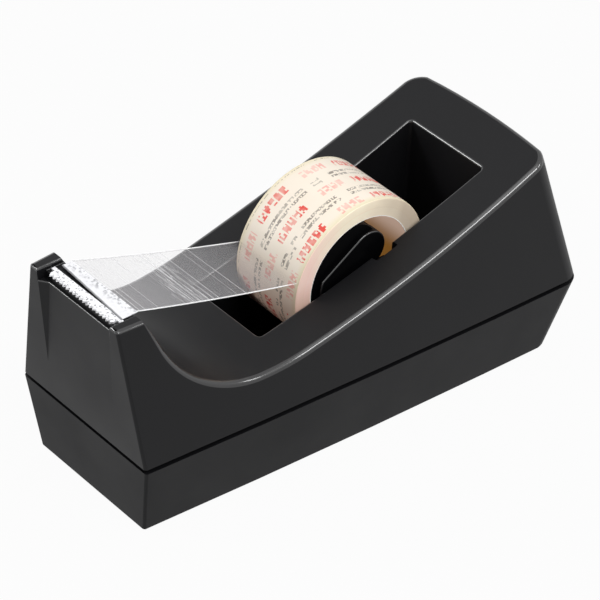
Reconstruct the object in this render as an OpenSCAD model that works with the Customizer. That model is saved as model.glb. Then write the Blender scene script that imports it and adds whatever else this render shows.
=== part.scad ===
// Weighted desk tape dispenser: a two-part black shell with a saddle top, a deep well for
// the roll, a toothed steel cutter between two ears, and a lift-out hub.
// Millimetres. +X is the back, -X the cutter, +Z up. The pad stands on z = 0.

/* [Body] */
// Whole length, from the top of the ears to the back of the seam
overall_len = 113.9; // [108:0.1:124]
// Width of the seam at the front
front_w = 38.3; // [36:0.1:46]
// Width of the seam at the back
back_w = 50.8; // [48:0.2:60]
// How far the sides bow out in the middle
side_bow = 0.65; // [0.3:0.05:1.5]
// Radius of the bow of the back, seen from above
back_bow_r = 168; // [120:1:400]
// Height of the seam between the base and the cover
seam_z = 17.6; // [14:0.2:20]
// Height of the top of the ears
ear_z = 49.2; // [47:0.2:56]
// How far the top of the ears stands forward of the seam
front_lean = 2.75; // [1:0.05:5]
// How far the sides of the cover lean in, in degrees
side_draft = 10.1; // [6:0.05:11]
// How far the back of the cover leans in, in degrees
back_draft = 15.2; // [8:0.1:17]
// Radius of the two back corners
back_corner_r = 4.8; // [4:0.1:9]
// Radius of the two front corners
front_corner_r = 0.8; // [0.5:0.1:2]
// Wall of the shell
wall = 2.6; // [2.2:0.1:3]
// Wall behind the recessed front panel
front_wall = 3.4; // [3:0.1:4.5]
// Dark shadow line between cover and base
shadow_gap = 0.9; // [0.4:0.1:1.4]

/* [Saddle] */
// Distance of the lowest point of the saddle from the front of the seam
dip_back = 28.2; // [27:0.1:32]
// Height of the lowest point of the saddle
dip_z = 28.15; // [26.5:0.05:30]
// Radius of the steep curve behind the ears
front_curve_r = 23.2; // [20:0.1:26]
// Radius of the curve just behind the lowest point
middle_curve_r = 53.7; // [45:0.1:70]
// Radius of the long flat curve up to the back
back_curve_r = 374; // [330:1:420]
// Slope of the drop behind the ears, in degrees
ear_slope = 62.2; // [58:0.1:66]
// Slope where the long flat curve starts, in degrees
middle_slope = 11.7; // [10:0.1:14]

/* [Base] */
// How far the base is set in at the bottom of the front
base_front_in = 2.05; // [0.5:0.05:4]
// How far the base is set in at the bottom of the back
base_back_in = 4.15; // [1:0.05:6]
// How far each side of the base is set in at the bottom
base_side_in = 3.05; // [0.5:0.05:4]
// Thickness of the base's floor
floor_t = 2.4; // [2:0.1:3]
// Thickness of the tongue that the cover fits over
tongue_t = 1.2; // [1:0.1:1.6]
// Height of the tongue above the seam
tongue_h = 3.2; // [2:0.1:4]
// Distance of the tongue from the outside of the seam
tongue_in = 1.7; // [1.5:0.05:2]
// Clearance round the tongue
tongue_gap = 0.15; // [0.1:0.05:0.3]

/* [Pad] */
// Thickness of the foam pad
pad_t = 1; // [0.8:0.1:2]
// How far the pad stands out below the base
pad_out = 0.5; // [0.3:0.1:0.7]
// Distance of the pad from the edge of the bottom
pad_in = 3; // [2.4:0.1:3.4]
// Clearance round the pad in its recess
pad_gap = 0.25; // [0.1:0.05:0.5]

/* [Well] */
// Length of the well for the roll
well_len = 57.4; // [54:0.1:59]
// Width of the well at its front
well_w = 20.4; // [19.6:0.1:22]
// Width of the well at its back
well_back_w = 21.4; // [20.4:0.1:23]
// Distance of the front of the well from the front of the seam
well_front = 34.7; // [33.5:0.1:36]
// Radius of the upright corners of the well
well_corner_r = 0.9; // [0.5:0.1:2]
// Thickness of the side walls of the well
well_side_t = 3; // [2.6:0.1:3.4]
// Thickness of the end walls and the floor of the well
well_end_t = 1.8; // [1.5:0.1:2.2]
// Clearance between the well and the base's floor
well_gap = 0.3; // [0.1:0.1:1]

/* [Nose] */
// Thickness of each ear at its top
ear_t = 2.35; // [1.8:0.05:2.8]
// Depth of the blade rest below the top of the ears
rest_drop = 1.2; // [0.8:0.1:2]
// Depth of the recessed front panel's top below the top of the ears
panel_drop = 2.6; // [2:0.1:4]
// How far the top of the panel is set back from the front
panel_in = 1.3; // [0.6:0.1:1.6]
// How far the front of the blade rest is set back from the panel
rest_in = 0.6; // [0.3:0.1:1]
// Length of the panel, down to where it meets the front
panel_len = 19.6; // [14:0.2:24]
// How far the sides of the panel's recess slope in
panel_side_in = 1.9; // [0.8:0.1:2.5]
// How much narrower each side of the recess is at its foot
panel_foot_in = 0.8; // [0.2:0.1:2]
// Height of the solid nose below the blade rest
nose_solid = 9; // [7:0.5:12]

/* [Cutter] */
// Thickness of the blade steel
blade_t = 0.4; // [0.3:0.05:0.6]
// Depth of the blade's flat top, teeth left out
blade_d = 1.7; // [1.4:0.1:2.2]
// Length of the blade between its end tabs
blade_w = 19; // [18:0.1:20.5]
// Length of each end tab
tab_w = 1; // [0.6:0.1:1.2]
// Depth of the leg that is pressed into the rest
blade_leg = 2.4; // [1.5:0.1:4]
// Pitch of the teeth
tooth_pitch = 1; // [0.8:0.05:1.4]
// Depth of the teeth
tooth_d = 0.7; // [0.4:0.05:1]
// Clearance of the leg in its slot
leg_gap = 0.05; // [0.02:0.01:0.15]

/* [Hub] */
// Height of the roll's centre above the desk
axle_z = 30.9; // [30:0.1:32]
// Distance of the roll's centre from the front of the well
axle_back = 26.9; // [26:0.1:28]
// Clearance of the hub in the core
core_gap = 0.1; // [0.05:0.01:0.3]
// Distance of the hub's flat back from its centre
hub_flat = 4; // [3.6:0.1:6]
// Radius of the hub's corners beside the flat
hub_corner_r = 6.4; // [3:0.1:7]
// How far each end of the hub lies inside the core
hub_in = 0.2; // [0.1:0.1:0.6]
// Wall of the hub
hub_wall = 2; // [1.6:0.1:2.4]
// Thickness of the web in the middle of the hub
hub_web = 2.4; // [1.6:0.1:3]
// How far the end plates stand out of the hub
plate_out = 1; // [0.5:0.05:1.1]
// Distance of the end plates from the rim of the hub
plate_in = 1.8; // [1.2:0.1:2.5]
// Slope of the straight top of the end plates, in degrees
plate_tilt = 33.5; // [25:0.5:40]
// Distance of that straight top from the hub's centre
plate_top = 8.2; // [7.5:0.1:9]
// Radius of the nose of the end plates
nose_r = 4.4; // [3.5:0.1:4.8]
// Distance of the nose's centre from the hub's centre, along the straight top
nose_at = 4; // [3:0.1:5]
// Width of the hub's lugs
lug_w = 4.6; // [3.6:0.1:5.4]
// Height of the hub's lugs
lug_h = 8.5; // [6:0.5:10]
// Distance of the lugs behind the roll's centre
lug_back = 4.3; // [3.5:0.1:5.2]
// Height of the top of the lugs above the roll's centre
lug_top = 1.3; // [0:0.1:2]
// Depth of the grooves in the well's walls
groove_d = 1.6; // [1.2:0.1:1.8]
// Clearance of the lugs in their grooves, on each side
groove_gap = 0.3; // [0.2:0.05:0.4]
// How deep the lugs are rooted in the hub's ends
lug_root = 0.2; // [0.1:0.1:1]
// How far the lugs reach into the grooves
lug_in = 1.2; // [0.8:0.05:1.3]
// Extra width of the mouth of each groove
mouth_w = 2.2; // [1:0.1:3]

/* [Roll] */
// Width of the tape and of its core
tape_w = 18; // [17:0.1:18.4]
// Bore of the core
core_bore = 25.6; // [25.4:0.1:26.4]
// Wall of the core
core_wall = 1.5; // [1.2:0.1:1.8]
// Thickness of the printed wrap on the core
wrap_t = 0.2; // [0.1:0.05:0.3]
// Outer diameter of the wound tape
roll_d = 33.6; // [32:0.1:44]

/* [Loose end] */
// Thickness of the loose end of the tape
film_t = 0.2; // [0.12:0.02:0.3]
// Width of the film where it is stuck down behind the teeth
film_end_w = 19.6; // [17.8:0.1:20]
// How far the cut edge of the film is slanted
film_slant = 3; // [0:0.1:3]
// Height above the roll's centre where the loose end starts
peel_up = 4.6; // [2:0.1:6]
// Gap between the loose end and the roll's foremost point
film_gap = 0.3; // [0.2:0.05:0.5]

/* [Weights and screws] */
// Length of the front weight
front_weight_len = 14; // [8:0.5:16]
// Height of the front weight
front_weight_h = 20; // [10:0.5:21]
// Width of the front weight
front_weight_w = 27; // [20:0.5:29]
// Clearance between the back weight and the base's back wall
back_weight_gap = 0.6; // [0.5:0.1:3]
// Height of the back weight
back_weight_h = 22; // [10:0.5:26]
// Width of the back weight
back_weight_w = 23; // [16:0.5:23.5]
// Clearance between the weights and the well
weight_gap = 0.6; // [0.3:0.1:1]
// Diameter of the screw posts
post_d = 6; // [5.4:0.1:6.6]
// Height of the posts in the base, above the floor
post_h = 6; // [4:0.1:8]
// Distance of the front posts from the middle
front_post_y = 9.5; // [8.5:0.1:10.5]
// Distance of the front posts behind the front of the seam
front_post_x = 10; // [9:0.1:11]
// Distance of the back posts from the middle
back_post_y = 15.5; // [15:0.1:16.5]
// Distance of the back posts from the back of the seam
back_post_x = 10.5; // [10:0.1:11.5]
// Diameter of the screw heads
screw_head_d = 4.6; // [4:0.1:5]
// Height of the screw heads
screw_head_h = 1.4; // [1:0.1:1.8]
// Diameter of the screws
screw_d = 2.4; // [2:0.1:2.8]
// How deep the screws go into the cover's posts
screw_in = 6; // [4:0.5:9]

/* [Hidden] */
$fn = 96;
big = 400;
eps = 0.01;
// How far a curve crosses what it runs into, and how far it runs on, in degrees
sink = 0.015;
run_on = 6;
// The long curve of the saddle runs on past the back, to this slope in degrees
curve_end = 23;

// Where the seam starts and ends
seam_front = -overall_len / 2 + front_lean;
seam_back = overall_len / 2;
seam_len = seam_back - seam_front;
taper = (back_w - front_w) / 2 / seam_len;
// The sides bow between these two places
bow_front = seam_front;
bow_back = seam_back - back_fall(back_w / 2);
bow_len = bow_back - bow_front;
side_bow_r = (pow(bow_len, 2) / 4 + pow(side_bow, 2)) / (2 * side_bow);
front_rake = -front_lean / (ear_z - seam_z);
base_bottom = pad_out;
base_h = seam_z - base_bottom;
// Inside of the base's back wall, at the floor
back_wall_x = seam_back - wall * norm([base_h, base_back_in]) / base_h
              - base_back_in * (base_h - floor_t) / base_h;
cover_bottom = seam_z + shadow_gap;

// The curve of the saddle, seen from the side: [x, z] points and centres
function down(a) = [sin(a), -cos(a)];
dip_x = seam_front + dip_back;
front_centre = [dip_x, dip_z + front_curve_r];
middle_centre = [dip_x, dip_z + middle_curve_r];
back_centre = middle_centre + (middle_curve_r - back_curve_r) * down(middle_slope);

// The well and the roll
well_x0 = seam_front + well_front;
well_x1 = well_x0 + well_len;
axle_x = well_x0 + axle_back;
well_bottom = base_bottom + floor_t + well_gap;
well_floor = well_bottom + well_end_t;
core_r = core_bore / 2;
wrap_r = core_r + core_wall;
roll_in_r = wrap_r + wrap_t;
roll_r = roll_d / 2;
hub_r = core_r - core_gap;

// The nose
rest_z = ear_z - rest_drop;
panel_z = ear_z - panel_drop;
ear_out = half_w(seam_front - front_lean, ear_z);
ear_in = ear_out - ear_t;
panel_top_x = front_x(panel_z) + panel_in;
rest_x = panel_top_x + rest_in;
blade_front = panel_top_x + tooth_d;
blade_back = blade_front + blade_d;

// How far the bowed back falls away at a distance y from the middle
function back_fall(y) = back_bow_r - sqrt(pow(back_bow_r, 2) - pow(y, 2));
// Bow of the sides at x, and its slope
function bow_at(x) = 4 * side_bow * (x - bow_front) * (bow_back - x) / pow(bow_len, 2);
function bow_slope(x) = 4 * side_bow * (bow_front + bow_back - 2 * x) / pow(bow_len, 2);
// Outside of the cover at a height
function half_w(x, z) = front_w / 2 + taper * (x - seam_front) + bow_at(x)
                        - tan(side_draft) * (z - seam_z);
function front_x(z) = seam_front + front_rake * (z - seam_z);
function unit(v) = v / norm(v);

// Everything beyond a plane through p that faces n
module beyond(n, p) {
    translate(p)
        rotate([0, acos(n[2] / norm(n)), atan2(n[1], n[0])])
            translate([-big / 2, -big / 2, 0])
                cube(big);
}

// The waste outside a rounded corner that points along +X. The round crosses both faces instead
// of just touching them, by the small sink.
module corner_profile(half, r) {
    c = [-(r - sink) / cos(half), 0];
    difference() {
        polygon([c,
                 c + (r + 1) * [cos(half), -sin(half)],
                 [2, 0],
                 c + (r + 1) * [cos(half), sin(half)]]);
        translate(c)
            circle(r);
    }
}

// The waste outside a rounded edge where two faces meet at p
module edge_waste(n1, n2, p, r) {
    out = unit(n1 + n2);
    along = unit(cross(n1, n2));
    side = cross(along, out);
    multmatrix([[out[0], side[0], along[0], p[0]],
                [out[1], side[1], along[1], p[1]],
                [out[2], side[2], along[2], p[2]],
                [0, 0, 0, 1]])
        translate([0, 0, -big / 4])
            linear_extrude(big / 2)
                corner_profile(acos(n1 * n2) / 2, r);
}

// The waste outside a bowed face. Its chord runs along u through p, n points out of it, the bow's
// radius is r and it stands b out of the chord.
module bowed_waste(u, n, p, r, b) {
    along = cross(u, n);
    multmatrix([[u[0], n[0], along[0], p[0]],
                [u[1], n[1], along[1], p[1]],
                [u[2], n[2], along[2], p[2]],
                [0, 0, 0, 1]])
        translate([0, 0, -big / 2])
            linear_extrude(big)
                difference() {
                    translate([-big / 2, -3])
                        square([big, big / 2]);
                    translate([0, b - r])
                        circle(r, $fn = 1440);
                }
}

// A block with leaning faces, bowed at the sides and the back, wider at the back, set in by d.
// draft, rake and lean are the sideways shift of the sides, front and back for each mm of height.
// The rounded edges are placed at the height z_mid.
module leaning_block(z0, z1, z_mid, draft, rake, lean, d, d_front, r_back, r_front) {
    nf = unit([-1, 0, rake]);
    nb = unit([1, 0, lean]);
    y0 = front_w / 2 - d * norm([-taper, 1, draft]);
    xf = seam_front + d_front * norm([1, 0, rake]);
    xb = seam_back - d * norm([1, 0, lean]);
    up = z_mid - seam_z;
    x_mid = (bow_front + bow_back) / 2;
    // where the faces meet at the height z_mid
    fx = xf + rake * up;
    fy = y0 + taper * (fx - seam_front) + bow_at(fx) - draft * up;
    by_near = y0 + taper * (xb - lean * up - seam_front) - draft * up;
    bx = xb - lean * up - back_fall(by_near);
    by = y0 + taper * (bx - seam_front) + bow_at(bx) - draft * up;
    difference() {
        translate([-big / 4, -big / 8, z0])
            cube([big / 2, big / 4, z1 - z0]);
        beyond(nf, [xf, 0, seam_z]);
        bowed_waste([0, 1, 0], nb, [xb, 0, seam_z], back_bow_r, 0);
        for (s = [1, -1]) {
            bowed_waste(unit([1, s * taper, 0]), unit([-taper, s, draft]),
                        [x_mid, s * (y0 + taper * (x_mid - seam_front)), seam_z],
                        side_bow_r, side_bow);
            edge_waste(unit([-taper - bow_slope(bx), s, draft]),
                       unit([1, s * by / sqrt(pow(back_bow_r, 2) - pow(by, 2)), lean]),
                       [bx, s * by, z_mid], r_back);
            edge_waste(unit([-taper - bow_slope(fx), s, draft]), nf,
                       [fx, s * fy, z_mid], r_front);
        }
    }
}

module cover_block(d = 0, d_front = 0, z0 = cover_bottom, z1 = ear_z) {
    leaning_block(z0, z1, (seam_z + ear_z) / 2, tan(side_draft), front_rake, tan(back_draft),
                  d, d_front, back_corner_r - d, front_corner_r);
}

module base_block(d = 0, z0 = base_bottom, z1 = seam_z) {
    leaning_block(z0, z1, seam_z / 2, -base_side_in / base_h, -base_front_in / base_h,
                  -base_back_in / base_h, d, d, back_corner_r - d, front_corner_r);
}

// Upright outline of the seam, set in by d
module seam_ring(d, z0, z1) {
    leaning_block(z0, z1, seam_z, 0, 0, 0, d, d, back_corner_r - d, front_corner_r);
}

// Side view of all that lies above the saddle, lowered by d. Each curve is let down a little below
// the flatter one beside it and runs on past it, so that they cross.
module above_saddle(d = 0) {
    p1 = front_centre + (front_curve_r + d) * down(-ear_slope);
    p2 = front_centre + (front_curve_r + d) * down(0);
    p3 = middle_centre + (middle_curve_r + d) * down(middle_slope);
    p4 = back_centre + (back_curve_r + d) * down(curve_end);
    rotate([90, 0, 0])
        translate([0, 0, -big / 4])
            linear_extrude(big / 2) {
                polygon([p1 + big / 4 * [-cos(ear_slope), sin(ear_slope)], p1, p2, p3, p4,
                         p4 + big / 4 * [cos(curve_end), sin(curve_end)]]);
                arc_slice(front_centre, front_curve_r + d + 3 * sink, -ear_slope - run_on, run_on);
                arc_slice(middle_centre, middle_curve_r + d + 2 * sink, 0, middle_slope + run_on);
                arc_slice(back_centre, back_curve_r + d + sink, middle_slope, curve_end + run_on);
            }
}

module arc_slice(c, r, a0, a1) {
    intersection() {
        translate(c)
            circle(r, $fn = 720);
        polygon([c, c + 1.4 * r * down(a0), c + 1.4 * r * down(a1)]);
    }
}

// Half width of the well at x
function well_half(x) = (well_w + (well_back_w - well_w) * (x - well_x0) / well_len) / 2;

// The outline of the well, set out by side at its sides and by end at its ends
module well_shape(side, end, z0, z1, r) {
    x0 = well_x0 - end;
    x1 = well_x1 + end;
    n_end = [1, 0];
    slope = (well_back_w - well_w) / 2 / well_len;
    translate([0, 0, z0])
        linear_extrude(z1 - z0)
            difference() {
                polygon([[x0, -well_half(x0) - side], [x1, -well_half(x1) - side],
                         [x1, well_half(x1) + side], [x0, well_half(x0) + side]]);
                for (e = [1, -1], s = [1, -1]) {
                    x = e > 0 ? x1 : x0;
                    n_side = unit([-slope, s]);
                    out = unit(e * n_end + n_side);
                    translate([x, s * (well_half(x) + side)])
                        rotate(atan2(out[1], out[0]))
                            corner_profile(acos(e * n_end * n_side) / 2, r);
                }
            }
}

module post_spots() {
    for (s = [1, -1]) {
        translate([seam_front + front_post_x, s * front_post_y, 0])
            children();
        translate([seam_back - back_post_x, s * back_post_y, 0])
            children();
    }
}

// The recess of the front panel, between the ears
module panel_recess() {
    foot_z = panel_z - panel_len;
    panel_run = [front_x(foot_z) - panel_top_x, 0, foot_z - panel_z];
    p_top = [front_x(ear_z), ear_in, ear_z];
    p_foot = [front_x(foot_z), ear_in - panel_foot_in, foot_z];
    p_in = [panel_top_x, ear_in - panel_side_in, panel_z];
    intersection() {
        beyond([panel_run[2], 0, -panel_run[0]], [panel_top_x, 0, panel_z]);
        side_of_recess(p_top, p_foot, p_in, 1);
        side_of_recess(p_top, p_foot, p_in, -1);
        translate([-big / 2, -big / 2, foot_z - 1])
            cube([big, big, ear_z - foot_z + 10]);
    }
}

module side_of_recess(a, b, c, s) {
    n = cross(b - a, c - a);
    m = n[1] < 0 ? n : -n;
    beyond([m[0], s * m[1], m[2]], [a[0], s * a[1], a[2]]);
}

module groove(s) {
    x = axle_x + lug_back;
    w = lug_w + 2 * groove_gap;
    z0 = axle_z + lug_top - lug_h;
    y = s > 0 ? well_half(x) - 1 : -well_half(x) - groove_d;
    translate([x - w / 2, y, z0])
        cube([w, groove_d + 1, big / 4]);
    // mouth, wider towards the back
    top = axle_z + lug_top + mouth_w / 2;
    translate([x + w / 2, y, top])
        rotate([0, 45, 0])
            translate([-mouth_w, 0, 0])
                cube([mouth_w, groove_d + 1, big / 8]);
}

module upper_cover() {
    color([0.12, 0.12, 0.125])
        difference() {
            union() {
                difference() {
                    cover_block();
                    cavity();
                    // rebate over the base's tongue
                    seam_ring(tongue_in - tongue_gap, 0, seam_z + tongue_h);
                }
                intersection() {
                    well_walls();
                    cover_block(z0 = 0);
                }
                intersection() {
                    cover_posts();
                    cover_block(wall / 2, front_wall / 2, 0);
                }
            }
            above_saddle();
            well_shape(0, 0, well_floor, ear_z + 10, well_corner_r);
            groove(1);
            groove(-1);
            // space between the ears
            translate([-overall_len, -ear_in, rest_z])
                cube([overall_len, 2 * ear_in, ear_z]);
            translate([rest_x - overall_len, -ear_in, panel_z])
                cube([overall_len, 2 * ear_in, ear_z]);
            panel_recess();
            // slot for the blade's leg
            translate([blade_back - blade_t - leg_gap, -blade_w / 2 - leg_gap,
                       rest_z - blade_leg - leg_gap])
                cube([blade_t + 2 * leg_gap, blade_w + 2 * leg_gap, blade_leg + 1]);
        }
}

module cavity() {
    intersection() {
        cover_block(wall, front_wall, -1);
        difference() {
            translate([-big / 4, -big / 4, -1])
                cube([big / 2, big / 2, rest_z + 1]);
            above_saddle(wall);
            translate([-big / 4, -big / 4, rest_z - nose_solid])
                cube([big / 4 + dip_x, big / 2, big / 4]);
        }
    }
}

module well_walls() {
    well_shape(well_side_t, well_end_t, well_bottom, ear_z, well_corner_r + 1);
}

module cover_posts() {
    difference() {
        post_spots()
            translate([0, 0, base_bottom + floor_t + post_h])
                cylinder(h = ear_z, d = post_d, $fn = 48);
        post_spots()
            cylinder(h = base_bottom + floor_t + post_h + screw_in, d = screw_d, $fn = 32);
    }
}

module base_tray() {
    color([0.10, 0.10, 0.105])
        difference() {
            union() {
                difference() {
                    base_block();
                    base_block(wall, base_bottom + floor_t, seam_z + 1);
                }
                difference() {
                    seam_ring(tongue_in, seam_z - tongue_h, seam_z + tongue_h);
                    seam_ring(tongue_in + tongue_t, seam_z - tongue_h - 1, seam_z + tongue_h + 1);
                }
                intersection() {
                    post_spots()
                        cylinder(h = base_bottom + floor_t + post_h, d = post_d, $fn = 48);
                    base_block(wall / 2);
                }
            }
            post_spots() {
                translate([0, 0, -1])
                    cylinder(h = pad_recess_z() + screw_head_h + 1.3, d = screw_head_d + 0.6, $fn = 32);
                cylinder(h = seam_z, d = screw_d + 0.4, $fn = 32);
            }
            pad_shape(pad_in - pad_gap, -1, pad_recess_z());
        }
}

function pad_recess_z() = pad_t;

module pad_shape(d, z0, z1) {
    bx0 = seam_front + base_front_in + d;
    bx1 = seam_back - base_back_in - d;
    y0 = front_w / 2 - base_side_in - d;
    y1 = back_w / 2 - base_side_in - d;
    translate([0, 0, z0])
        linear_extrude(z1 - z0)
            polygon([[bx0, -y0], [bx1, -y1], [bx1, y1], [bx0, y0]]);
}

module non_slip_pad() {
    color([0.16, 0.16, 0.16])
        pad_shape(pad_in, 0, pad_t);
}

module front_weight() {
    z0 = base_bottom + floor_t;
    x1 = well_x0 - well_end_t - weight_gap;
    color([0.45, 0.45, 0.46])
        translate([x1 - front_weight_len, -front_weight_w / 2, z0])
            cube([front_weight_len, front_weight_w, front_weight_h]);
}

module back_weight() {
    z0 = base_bottom + floor_t;
    x0 = well_x1 + well_end_t + weight_gap;
    // it fills the room up to the back wall, which is nearest at the floor
    x1 = back_wall_x - back_fall(back_weight_w / 2) - back_weight_gap;
    color([0.45, 0.45, 0.46])
        translate([x0, -back_weight_w / 2, z0])
            cube([x1 - x0, back_weight_w, back_weight_h]);
}

module base_screws() {
    z0 = pad_recess_z() + 0.3;
    color([0.7, 0.7, 0.72])
        post_spots() {
            translate([0, 0, z0])
                cylinder(h = screw_head_h, d = screw_head_d, $fn = 32);
            translate([0, 0, z0 + screw_head_h - eps])
                cylinder(h = base_bottom + floor_t + post_h + screw_in - z0 - screw_head_h - 0.5,
                         d = screw_d, $fn = 32);
        }
}

module cutter_blade() {
    teeth = floor(blade_w / tooth_pitch);
    y0 = -teeth * tooth_pitch / 2;
    color([0.8, 0.8, 0.82])
        union() {
            translate([blade_front, -blade_w / 2, rest_z])
                cube([blade_d, blade_w, blade_t]);
            translate([blade_front + blade_d / 2, -blade_w / 2 - tab_w, rest_z])
                cube([blade_d / 2, blade_w + 2 * tab_w, blade_t]);
            translate([blade_back - blade_t, -blade_w / 2, rest_z - blade_leg])
                cube([blade_t, blade_w, blade_leg + eps]);
            translate([0, 0, rest_z])
                linear_extrude(blade_t)
                    for (i = [0 : teeth - 1])
                        polygon([[blade_front + eps, y0 + i * tooth_pitch],
                                 [blade_front - tooth_d, y0 + (i + 0.5) * tooth_pitch],
                                 [blade_front + eps, y0 + (i + 1) * tooth_pitch]]);
        }
}

// Places a side view, drawn round the roll's centre, from y0 to y1
module side_view(y0, y1) {
    translate([axle_x, y1, axle_z])
        rotate([90, 0, 0])
            linear_extrude(y1 - y0)
                children();
}

// Outline of the hub, a disc with a flat at the back and rounded corners beside it. The rounds
// cross the disc and the flat by the small sink.
module hub_outline() {
    cx = hub_flat - hub_corner_r;
    cy = sqrt(pow(hub_r - hub_corner_r, 2) - pow(cx, 2));
    reach = 2 * hub_r / (hub_r - hub_corner_r);
    difference() {
        intersection() {
            circle(hub_r);
            translate([-2 * hub_r, -hub_r])
                square([2 * hub_r + hub_flat, 2 * hub_r]);
        }
        for (s = [1, -1])
            difference() {
                polygon([[cx, s * cy], reach * [cx, s * cy], [hub_r, s * 2 * hub_r], [hub_r, s * cy]]);
                translate([cx, s * cy])
                    circle(hub_corner_r + sink);
            }
    }
}

module hub_hollow() {
    intersection() {
        circle(hub_r - hub_wall);
        for (s = [1, -1])
            translate([-hub_r, s > 0 ? hub_web / 2 : -hub_web / 2 - hub_r])
                square([hub_r + hub_flat + 1, hub_r]);
    }
}

// Outline of an end plate, a disc with a straight top and a bar with a round nose
module end_plate_outline() {
    nose_v = plate_top - nose_r;
    rotate(plate_tilt) {
        intersection() {
            circle(hub_r - plate_in);
            translate([-hub_r, -hub_r])
                square([hub_r + 1, hub_r + plate_top]);
        }
        translate([0, nose_v - nose_r])
            square([nose_at, 2 * nose_r]);
        translate([nose_at, nose_v])
            circle(nose_r, $fn = 64);
    }
}

module hub() {
    half = tape_w / 2 - hub_in;
    lug_reach = well_half(axle_x + lug_back) + lug_in;
    color([0.07, 0.07, 0.075])
        difference() {
            union() {
                side_view(-half, half)
                    hub_outline();
                side_view(-half - plate_out, half + plate_out)
                    end_plate_outline();
                for (s = [1, -1])
                    side_view(s > 0 ? half - lug_root : -lug_reach, s > 0 ? lug_reach : lug_root - half)
                        translate([lug_back - lug_w / 2, lug_top - lug_h])
                            square([lug_w, lug_h]);
            }
            side_view(-half + hub_wall, half - hub_wall)
                hub_hollow();
        }
}

module ring(r_in, r_out) {
    side_view(-tape_w / 2, tape_w / 2)
        difference() {
            circle(r_out, $fn = 128);
            circle(r_in, $fn = 128);
        }
}

module tape_core() {
    color([0.87, 0.80, 0.66])
        ring(core_r, wrap_r);
}

module core_wrap() {
    color([0.95, 0.90, 0.82])
        ring(wrap_r, roll_in_r);
}

module tape_roll() {
    color([0.93, 0.88, 0.78])
        ring(roll_in_r, roll_r);
}

// The loose end runs straight from the roll to the blade rest and lies over it, getting wider
module tape_end() {
    // start of the film beside the roll, clear of it when the roll is lifted
    a = [axle_x - roll_r - film_gap, axle_z + peel_up];
    b = [saddle_edge_x() + 0.5, rest_z + blade_t];
    c = [blade_front - tooth_d / 2, b[1]];
    run = unit(b - a);
    up = [run[1], -run[0]];
    color([0.9, 0.9, 0.92, 0.5])
        difference() {
            intersection() {
                rotate([90, 0, 0])
                    translate([0, 0, -big / 4])
                        linear_extrude(big / 2)
                            polygon([a, b, c, c + [0, film_t], b + [0, film_t], a + film_t * up]);
                linear_extrude(big / 4)
                    polygon([[a[0], -tape_w / 2], [a[0], tape_w / 2], [b[0], film_end_w / 2],
                             [c[0], film_end_w / 2], [c[0], -film_end_w / 2],
                             [b[0], -film_end_w / 2]]);
            }
            // slanted cut at the free end
            translate([c[0], -film_end_w / 2, 0])
                rotate([0, 0, -atan2(film_slant, film_end_w)])
                    translate([-big / 4, 0, 0])
                        cube([big / 4, big / 8, big / 4]);
        }
}

// Where the saddle meets the blade rest
function saddle_edge_x() =
    let (p = front_centre + front_curve_r * down(-ear_slope))
    p[0] - (rest_z - p[1]) / tan(ear_slope);

upper_cover();
base_tray();
non_slip_pad();
front_weight();
back_weight();
base_screws();
cutter_blade();
hub();
tape_core();
core_wrap();
tape_roll();
tape_end();
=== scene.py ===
# %% [markdown]
# # A weighted desk tape dispenser
# This file dresses a CAD model of a desk tape dispenser: a black plastic body with a saddle top,
# a roll of clear tape on a lift-out hub, a toothed cutter, and the loose end of the tape.
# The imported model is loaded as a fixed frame. It is in metres, with +X to the back, -X to the
# cutter and +Z up. Each new piece is made at its own place in that frame and rides on a body.

# %% Load the frame
import bpy
import math
from mathutils import Euler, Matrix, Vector


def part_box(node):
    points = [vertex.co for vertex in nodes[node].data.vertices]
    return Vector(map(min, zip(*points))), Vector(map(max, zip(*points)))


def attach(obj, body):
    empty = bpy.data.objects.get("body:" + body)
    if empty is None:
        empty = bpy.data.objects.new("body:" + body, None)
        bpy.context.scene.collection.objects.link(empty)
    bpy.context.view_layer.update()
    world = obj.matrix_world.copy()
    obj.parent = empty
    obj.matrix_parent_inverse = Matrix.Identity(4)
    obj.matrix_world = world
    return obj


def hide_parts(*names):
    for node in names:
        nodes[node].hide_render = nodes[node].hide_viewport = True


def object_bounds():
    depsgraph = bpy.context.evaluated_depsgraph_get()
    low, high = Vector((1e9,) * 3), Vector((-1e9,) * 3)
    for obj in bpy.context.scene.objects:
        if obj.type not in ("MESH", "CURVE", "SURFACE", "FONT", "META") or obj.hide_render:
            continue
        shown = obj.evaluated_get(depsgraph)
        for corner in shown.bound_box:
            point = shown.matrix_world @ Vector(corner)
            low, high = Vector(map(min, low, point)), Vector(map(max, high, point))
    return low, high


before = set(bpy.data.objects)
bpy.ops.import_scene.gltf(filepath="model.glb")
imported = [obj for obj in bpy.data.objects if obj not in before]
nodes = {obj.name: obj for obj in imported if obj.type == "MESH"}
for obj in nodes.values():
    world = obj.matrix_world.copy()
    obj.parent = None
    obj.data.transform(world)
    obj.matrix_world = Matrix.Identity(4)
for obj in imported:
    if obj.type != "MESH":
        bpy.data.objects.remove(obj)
cad_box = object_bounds()
MM = 0.001
print("CAD box in mm:", [[round(c / MM, 2) for c in corner] for corner in cad_box])

# %% [markdown]
# ## The camera
# The camera looks down from the front left, about 37 degrees above the desk, and is turned a
# little about its own axis. Its lens, place and angles were solved from the corners of the body,
# and put them within about 3 pixels of their places in the photograph. The lens came out long,
# which keeps the seams almost parallel.

# %% Camera
FOCAL_LENGTH = 185.38
CAMERA_PLACE = (-332.36, -360.57, 396.82)
CAMERA_TURN = (52.578, -2.559, -40.723)

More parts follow.
